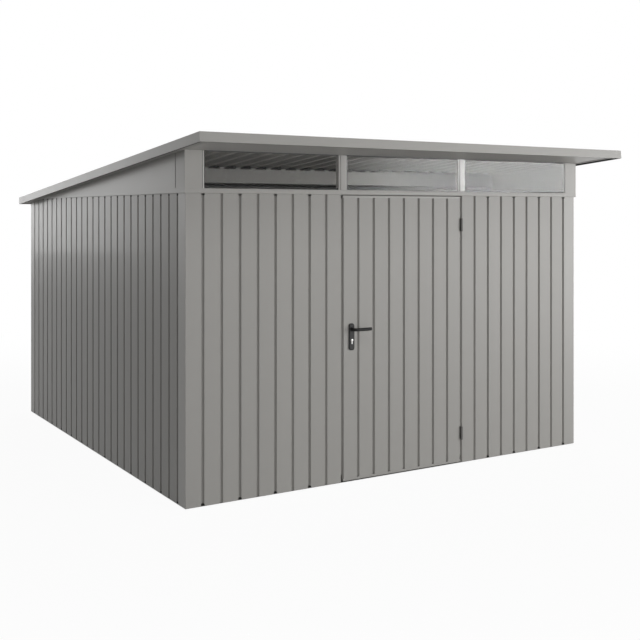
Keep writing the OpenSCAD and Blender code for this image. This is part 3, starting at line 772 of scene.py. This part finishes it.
def head_seal(node_name):
    """Rubber bead that closes the top of a pane under the soffit; its dark grey is partly the seal's own
    colour and partly painted shade under the soffit.
    """
    low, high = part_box(node_name)
    bottom = high[2] - HEAD_LOW
    bead = start_box(
        (low[0], low[1] - HEAD_DEPTH, bottom), (high[0], low[1] - HEAD_GAP, high[2] - HEAD_TOP),
    )
    pick_edges(bead, lambda a, b: abs(a.x - b.x) > LONG_EDGE and max(a.z, b.z) < bottom + TOUCH)
    round_edges(HEAD_ROUND, 4)
    return close_piece(bead)


def door_seal():
    """Rubber strip for a door post, behind the joint of the leaf, at the middle of the door."""
    post_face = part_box("door_posts")[0][1]
    front = post_face - SEAL_DEPTH
    strip = start_box((-SEAL_HALF, front, LEAF_FOOT), (SEAL_HALF, post_face - SEAL_GAP, LEAF_TOP))
    pick_front_edges(strip, "z", front)
    round_edges(SEAL_ROUND, 4)
    return close_piece(strip)


def gap_filler(left, right, bottom, top):
    """Strip on the wall's edge that closes the leaf's joint line at the depth of a groove's floor."""
    strip = start_box((left, GROOVE_FLOOR, bottom), (right, GROOVE_FLOOR + FILLER_DEPTH, top))
    pick_faces(strip, lambda middle, normal: normal.y > STRAIGHT)
    bpy.ops.mesh.inset(thickness=FILLER_INSET, depth=0.0)
    extrude((0, FILLER_BACK, 0))
    pick_front_edges(strip, "z", GROOVE_FLOOR)
    round_edges(FILLER_ROUND, 3)
    return close_piece(strip)


def add_seals():
    tapes = join_all([glazing_tape(name) for name in PANES])
    dress(tapes, "glazing_tape", "shed", FINISHES["rubber"])
    heads = join_all([head_seal(name) for name in PANES])
    dress(heads, "head_seals", "shed", FINISHES["bead_and_painted_shade_grey"])
    strips = spread_copies(door_seal(), [(x, 0, 0) for x in SEAL_PLACES])
    dress(strips, "door_seals", "shed", FINISHES["seal_grey"])
    fillers = join_all([gap_filler(*run) for run in FILLER_RUNS])
    dress(fillers, "gap_fillers", "shed", FINISHES["cladding"])


# Trim and beads of the glazed strip and the overhangs, with painted highlight and painted shade on some of
# them

COVER_RUN = (SIDE_X - 0.1186, SIDE_X - 0.1052)
COVER_DEPTH, COVER_GAP, COVER_ROUND = 0.0009, 0.00005, 0.0004
COVER_FOOT, COVER_TOP = 0.0005, SOFFIT_Z - 0.0008
LIP_BEAD_RUN = (SIDE_X - 0.1086, SIDE_X - 0.1054)
LIP_BEAD_FRONT, LIP_BEAD_BACK = LIP_FACE - 0.0028, LIP_FACE - 0.0010
LIP_BEAD_LOW, LIP_BEAD_HIGH = SILL_TOP + 0.0008, SOFFIT_Z - 0.0012
JOINT_OUTER, JOINT_INNER, JOINT_CORNER = 0.00012, 0.0035, 0.0032
JOINT_LOW, JOINT_HIGH = SILL_TOP - 0.0035, SILL_TOP + 0.0026
POST_INSIDE = SIDE_X - 0.1040
LAP_LOW, LAP_GAP, LAP_OUT, LAP_WIDTH, LAP_TOP = 0.003, 0.00005, 0.0012, 0.0030, 0.0035
OVERHANG_END = 0.0085
LINING_EDGE = 1.6650
LINING_GAP, LINING_DEPTH = 0.0015, 0.0017
FOAM_GAP, FOAM_DEPTH, FOAM_SKIN, FOAM_DROP = 0.0002, 0.0032, 0.0015, 0.0092
BEAD_ROUND = 0.0005


def joint_bead(low, high):
    """Straight strip with its long edges broken, as sealant, lining or foam."""
    bead = start_box(low, high)
    length = max(b - a for a, b in zip(low, high))
    pick_edges(bead, lambda a, b: (a - b).length > length / 2)
    round_edges(BEAD_ROUND, 2)
    return close_piece(bead)


def side_beads(run, front, back, bottom, top):
    """A strip on the left and one on the right, over the same depth and height."""
    return [joint_bead((left, front, bottom), (right, back, top)) for left, right in side_runs(*run)]


def lip_cover(left, right, bottom):
    """Thin trim over the lip of a corner post, beside the pane."""
    front = LIP_FACE - COVER_DEPTH
    cover = start_box((left, front, bottom), (right, LIP_FACE - COVER_GAP, COVER_TOP))
    pick_front_edges(cover, "z", front)
    round_edges(COVER_ROUND, 3)
    return close_piece(cover)


def add_lip_covers():
    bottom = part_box("clerestory_post_left")[0][2] + COVER_FOOT
    covers = [lip_cover(left, right, bottom) for left, right in side_runs(*COVER_RUN)]
    # The covers' light coat is a painted highlight along each lip
    dress(join_all(covers), "lip_highlight_covers", "shed", FINISHES["lip_painted_highlight"])
    # The lip beads are painted shadow: a dark line where each lip steps back from its post's face
    beads = side_beads(LIP_BEAD_RUN, LIP_BEAD_FRONT, LIP_BEAD_BACK, LIP_BEAD_LOW, LIP_BEAD_HIGH)
    dress(join_all(beads), "lip_shadow_beads", "shed", FINISHES["bead_and_painted_shade_grey"])


def add_joint_beads():
    """Beads over the side rails and under the corner posts of the glazed strip."""
    over_rails = (TRIM_SIDE - JOINT_INNER, TRIM_SIDE - JOINT_OUTER)
    beads = side_beads(over_rails, TRIM_FRONT + JOINT_CORNER, GABLE_END, JOINT_LOW, JOINT_HIGH)
    under_posts = (POST_INSIDE, TRIM_SIDE - JOINT_CORNER)
    front, back = TRIM_FRONT + JOINT_OUTER, TRIM_FRONT + JOINT_INNER
    beads += side_beads(under_posts, front, back, JOINT_LOW, JOINT_HIGH)
    dress(join_all(beads), "joint_beads", "shed", FINISHES["trim"])


def add_lap_beads():
    """Dark beads on the gables, where the corner posts' sides end: a sealed joint whose dark grey is
    partly painted shade of the posts' edges.
    """
    on_gable = (TRIM_SIDE + LAP_GAP, TRIM_SIDE + LAP_OUT)
    front = FRONT_Y + POST_LAP
    top = SOFFIT_Z - POST_LAP * math.tan(ROOF_SLOPE) - LAP_TOP
    beads = side_beads(on_gable, front, front + LAP_WIDTH, SILL_TOP + LAP_LOW, top)
    dress(join_all(beads), "lap_beads", "shed", FINISHES["bead_and_painted_shade_grey"])


def on_roof(pieces):
    """Pieces modelled in the roof's own directions, joined and laid on its slope."""
    return spread_copies(join_all(pieces), [roof_place(0, 0, 0)], ON_SLOPE)


def add_overhang_linings():
    """Dull linings under the side overhangs, and black foam in the corners of their drip edges that paints
    the shade under the overhangs.
    """
    front, back, top = EAVES_FRONT + OVERHANG_END, EAVES_BACK - OVERHANG_END, -FOAM_GAP
    linings = side_beads((TRIM_SIDE + LINING_GAP, LINING_EDGE), front, back, -LINING_DEPTH, top)
    flat_run = (LINING_EDGE + FOAM_GAP, DRIP_INSIDE - FOAM_SKIN - TOUCH)
    shade_foams = side_beads(flat_run, front, back, -FOAM_DEPTH, top)
    shade_foams += side_beads((DRIP_INSIDE - FOAM_SKIN, DRIP_INSIDE), front, back, -FOAM_DROP, top)
    dress(on_roof(linings), "overhang_linings", "shed", FINISHES["lining"])
    dress(on_roof(shade_foams), "drip_shade_foams", "shed", FINISHES["rubber"])


# Fasteners

# Sizes of a washer and a bolt head, some as shares of their radius or height
WASHER_HEIGHT, WASHER_RISE, WASHER_SLOPE = 0.0016, 0.0006, 0.25
BOLT_SEAT, BOLT_EDGE, BOLT_CROWN = 0.0018, 0.16, 0.12
RAIL_TOP = 0.002
ANCHOR_INSET, ANCHOR_END = 0.0565, 0.3
CLEAT_ROWS = (FRONT_Y + 0.880, FRONT_Y + 1.6627)
CLEAT_BOLT_HEIGHT, CLEAT_BOLT_STEP, CLEAT_FLANGE = 1.858, 0.018, 0.004
# Radius of the washer, radius of the head and height of the head
SCREW = (0.0080, 0.0046, 0.0042)
ANCHOR = (0.0110, 0.0085, 0.0064)
CLEAT_BOLT = (0.0085, 0.0065, 0.0050)


def hex_head(washer, head, height, washer_finish, head_finish):
    """Hexagon head on a domed washer, at the origin and facing up."""
    ring = start_piece(
        bpy.ops.mesh.primitive_cylinder_add, vertices=12, radius=washer, depth=WASHER_HEIGHT,
        location=(0, 0, WASHER_HEIGHT / 2),
    )
    pick_top(ring)
    bpy.ops.mesh.inset(thickness=washer * WASHER_SLOPE, depth=WASHER_RISE)
    close_piece(ring)
    ring.data.materials.append(washer_finish)
    bolt = start_piece(
        bpy.ops.mesh.primitive_cylinder_add, vertices=6, radius=head, depth=height,
        location=(0, 0, BOLT_SEAT + height / 2),
    )
    pick_top(bolt)
    bpy.ops.mesh.inset(thickness=head * BOLT_EDGE, depth=height * BOLT_CROWN)
    close_piece(bolt, smooth=25.0)
    bolt.data.materials.append(head_finish)
    return join_all([bolt, ring])


def ride_fasteners(piece, name):
    piece.name = piece.data.name = name
    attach(piece, "shed")


def add_roof_screws():
    valleys = [(i - RIB_COUNT / 2) * RIB_PITCH for i in range(1, RIB_COUNT) if i % RIBS_PER_SHEET]
    places = [roof_place(x, down, SHEET_SEAT + SHEET) for down in SUPPORT_LINES for x in valleys]
    screw = hex_head(*SCREW, FINISHES["rubber"], FINISHES["roof_sheet"])
    ride_fasteners(spread_copies(screw, places, ON_SLOPE), "roof_screws")


def add_anchor_bolts():
    zinc = FINISHES["galvanised"]
    along, across = SIDE_X - ANCHOR_END, SIDE_X - ANCHOR_INSET
    rows = (FRONT_Y + ANCHOR_INSET, BACK_Y - ANCHOR_INSET)
    places = [(x, y, RAIL_TOP) for x in (-along, along) for y in rows]
    rows = (FRONT_Y + ANCHOR_END, BACK_Y - ANCHOR_END)
    places += [(x, y, RAIL_TOP) for x in (-across, across) for y in rows]
    ride_fasteners(spread_copies(hex_head(*ANCHOR, zinc, zinc), places), "anchor_bolts")


def add_cleat_bolts():
    zinc = FINISHES["galvanised"]
    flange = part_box("purlin_cleats")[1][0] - CLEAT_FLANGE
    steps = (-CLEAT_BOLT_STEP, CLEAT_BOLT_STEP)
    for side, name in ((-1, "left"), (1, "right")):
        places = [(side * flange, y + step, CLEAT_BOLT_HEIGHT) for y in CLEAT_ROWS for step in steps]
        bolts = spread_copies(hex_head(*CLEAT_BOLT, zinc, zinc), places, (0, -side * math.pi / 2, 0))
        ride_fasteners(bolts, "cleat_bolts_" + name)


# Fillers, some of them black pieces of painted shade

FILLER_FOOT = RIB_FOOT - 0.002
FOAM_THICK, FOAM_ROUND = 0.013, 0.0015
EAVES_FILLER_HEIGHT, EAVES_FILLER_BACK, EAVES_FILLER_DROP = RIB_HEIGHT + 0.001, 0.017, 0.0018
PURLIN_FILLER_HEIGHT, PURLIN_FILLER_BACK = 0.009, 0.022
PURLIN_FRONT, PURLIN_WEB, PURLIN_LIP, LIP_ROUND = -0.0056, -0.0034, 0.011, 0.0006
STOPPER_LOW, STOPPER_HIGH, STOPPER_ROUND = (-0.0098, 0.0004, -0.013), (0.0098, 0.0115, 0.0), 0.002
STOPPER_TAPER, STOPPER_GAP = 0.45, 0.0003


def rib_block(front, height):
    """Foam block cut to a rib's own section up to a height, at the origin."""
    crest = FILLER_FOOT - (RIB_FOOT - RIB_CREST) * height / RIB_HEIGHT
    block = start_box((-FILLER_FOOT / 2, front, 0.0), (FILLER_FOOT / 2, FOAM_THICK, height))
    pick_top(block)
    swell((0, 0, height), (crest / FILLER_FOOT, 1, 1))
    return block


def eaves_filler():
    """Block that closes a rib over the back eaves."""
    block = rib_block(0.0, EAVES_FILLER_HEIGHT)
    pick_edges(block, lambda a, b: abs(a.y - b.y) > FOAM_THICK / 2)
    round_edges(FOAM_ROUND, 2)
    return close_piece(block)


def purlin_filler():
    """Low block with a lip that hangs over the front of a purlin; in black it paints the shade of the gaps
    under the ribs and down the purlin's front.
    """
    block = rib_block(PURLIN_FRONT, PURLIN_FILLER_HEIGHT)
    bpy.ops.mesh.select_all(action="SELECT")
    bpy.ops.mesh.bisect(plane_co=(0, PURLIN_WEB, 0), plane_no=(0, 1, 0))
    pick_faces(block, lambda middle, normal: normal.z < -STRAIGHT and middle.y < PURLIN_WEB)
    extrude((0, 0, -PURLIN_LIP))
    pick_front_edges(block, "x", PURLIN_FRONT)
    round_edges(LIP_ROUND, 2)
    return close_piece(block)


def groove_plug():
    """Block that closes the top of a wall's groove, at the origin and with the groove open towards -Y.
    Dressed in black, it is painted shade at the groove's top under the head rail.
    """
    plug = start_box(STOPPER_LOW, STOPPER_HIGH)
    pick_faces(plug, lambda middle, normal: normal.y > STRAIGHT)
    swell((0, STOPPER_HIGH[1], 0), (STOPPER_TAPER, 1, 1))
    foot, face = STOPPER_LOW[2] + TOUCH, STOPPER_LOW[1] + TOUCH
    pick_edges(plug, lambda a, b: max(a.z, b.z) < foot and max(a.y, b.y) < face)
    round_edges(STOPPER_ROUND, 3)
    return close_piece(plug)


def add_rib_fillers():
    rubber = FINISHES["rubber"]
    ribs = [(i + 0.5 - RIB_COUNT / 2) * RIB_PITCH for i in range(RIB_COUNT)]
    places = [roof_place(x, EAVES_BACK - EAVES_FILLER_BACK, SHEET_SEAT - EAVES_FILLER_DROP) for x in ribs]
    dress(spread_copies(eaves_filler(), places, ON_SLOPE), "rib_fillers", "shed", rubber)
    # The purlin fillers' black is painted shade over each purlin
    rows = [line - PURLIN_FILLER_BACK for line in PURLIN_LINES]
    places = [roof_place(x, row, SHEET_SEAT) for row in rows for x in ribs[1:-1]]
    dress(spread_copies(purlin_filler(), places, ON_SLOPE), "purlin_shade_fillers", "shed", rubber)


def add_groove_plugs():
    grooves = [FRONT_Y + CORNER_LEG + BOARD_PITCH * i for i in range(SIDE_GROOVES)]
    for side, name in ((-1, "left"), (1, "right")):
        places = [(side * SIDE_X, y, WALL_HEIGHT - STOPPER_GAP) for y in grooves]
        plugs = spread_copies(groove_plug(), places, (0, 0, side * math.pi / 2))
        dress(plugs, "groove_shade_plugs_" + name, "shed", FINISHES["rubber"])


# Stage

WHITE = (1.0, 1.0, 1.0, 1.0)
AMBIENT = 0.23
FLOOR_SIZE, FLOOR_DROP = 80.0, 0.0005
FLOOR_TONE = 0.82
FLOOR_WHITENESS = 0.95
INDOOR_WHITENESS = 0.3
# Distances from the middle between which the floor turns to plain white
FLOOR_NEAR, FLOOR_FAR = 2.5, 7.0
KEY_FADE = (0.0, 0.36, 0.14)
BACK_FADE = (1.0, 0.68, 0.0)
# Each lamp's place, target, size and radiance, and its fade where it has one
LAMPS = {
    "key": ((7.8, -8.2, 2.0), (0.0, -1.47, 1.5), (6.5, 4.0), 2.0, KEY_FADE),
    "window_key": ((7.75, -8.15, 2.39), (0.0, -1.47, 1.85), (6.5, 0.62), 24.0, KEY_FADE),
    "low_key": ((7.75, -8.15, 0.45), (0.0, -1.47, 0.6), (6.5, 0.6), 15.0, KEY_FADE),
    "front_fill": ((-2.4, -12.5, 2.4), (-0.4, -1.47, 1.0), (5.0, 4.0), 3.8, None),
    "high_fill": ((0.0, -5.6, 7.0), (0.0, -1.47, 1.0), (6.0, 2.0), 2.1, None),
    "back_left": ((-4.8, 12.0, 2.2), (-1.6, 0.5, 2.2), (5.0, 2.5), 3.7, BACK_FADE),
    "back_right": ((7.0, 10.0, 5.0), (0.5, 1.0, 1.0), (5.0, 4.0), 8.0, None),
}


def add_world():
    world = bpy.data.worlds.new("studio")
    world.use_nodes = True
    tree = world.node_tree
    ambient = tree.nodes["Background"]
    ambient.inputs["Color"].default_value = WHITE
    ambient.inputs["Strength"].default_value = AMBIENT
    backdrop = node(tree, "ShaderNodeBackground", {"Color": WHITE, "Strength": 1.0})
    mixed = node(tree, "ShaderNodeMixShader", {
        0: seen_directly(tree), 1: ambient.outputs[0], 2: backdrop.outputs[0],
    })
    tree.links.new(mixed.outputs[0], tree.nodes["World Output"].inputs["Surface"])
    bpy.context.scene.world = world


def under_shed(tree):
    """1 on the floor between the walls, which stays in the shed's own shade."""
    parts = node(tree, "ShaderNodeSeparateXYZ", {"Vector": object_place(tree)})
    across = math_node(tree, "ABSOLUTE", parts.outputs["X"])
    from_middle = math_node(tree, "SUBTRACT", parts.outputs["Y"], (FRONT_Y + BACK_Y) / 2)
    along = math_node(tree, "ABSOLUTE", from_middle)
    between_sides = math_node(tree, "LESS_THAN", across, SIDE_X)
    between_ends = math_node(tree, "LESS_THAN", along, (BACK_Y - FRONT_Y) / 2)
    return math_node(tree, "MULTIPLY", between_sides, between_ends)


def floor_whiteness(tree):
    """Share of plain white on the floor, for the rays that see the backdrop."""
    away = node(tree, "ShaderNodeVectorMath", {0: object_place(tree)}, operation="LENGTH")
    backdrop = node(tree, "ShaderNodeMapRange", {
        "Value": away.outputs["Value"], "From Min": FLOOR_NEAR, "From Max": FLOOR_FAR,
        "To Min": FLOOR_WHITENESS, "To Max": 1.0,
    }, interpolation_type="SMOOTHSTEP")
    open_floor = math_node(tree, "MULTIPLY_ADD", under_shed(tree), INDOOR_WHITENESS - 1.0, 1.0)
    white_share = math_node(tree, "MULTIPLY", backdrop.outputs["Result"], open_floor)
    return math_node(tree, "MULTIPLY", seen_directly(tree), white_share)


def add_floor():
    bpy.ops.object.select_all(action="DESELECT")
    bpy.ops.mesh.primitive_plane_add(size=FLOOR_SIZE, location=(0, 0, -FLOOR_DROP))
    floor = bpy.context.object
    floor.name = "floor"
    material, tree, shader = new_finish("pale_floor")
    shader.inputs["Base Color"].default_value = (FLOOR_TONE, FLOOR_TONE, FLOOR_TONE, 1.0)
    shader.inputs["Roughness"].default_value = 0.9
    shader.inputs["Specular IOR Level"].default_value = 0.0
    white = node(tree, "ShaderNodeEmission", {"Color": WHITE, "Strength": 1.0})
    mixed = node(tree, "ShaderNodeMixShader", {
        0: floor_whiteness(tree), 1: shader.outputs[0], 2: white.outputs[0],
    })
    tree.links.new(mixed.outputs[0], tree.nodes["Material Output"].inputs["Surface"])
    floor.data.materials.append(material)


def add_lamps():
    for name, (place, target, size, radiance, fade) in LAMPS.items():
        lamp = add_softbox(name, place, target, size, radiance)
        if fade:
            fade_lamp(lamp, *fade)


finish_solids()
add_furniture()
add_hinges()
add_seals()
add_lip_covers()
add_joint_beads()
add_lap_beads()
add_overhang_linings()
add_roof_screws()
add_anchor_bolts()
add_cleat_bolts()
add_rib_fillers()
add_groove_plugs()
add_camera()
add_world()
add_floor()
add_lamps()

bpy.context.scene.view_settings.view_transform = "Standard"
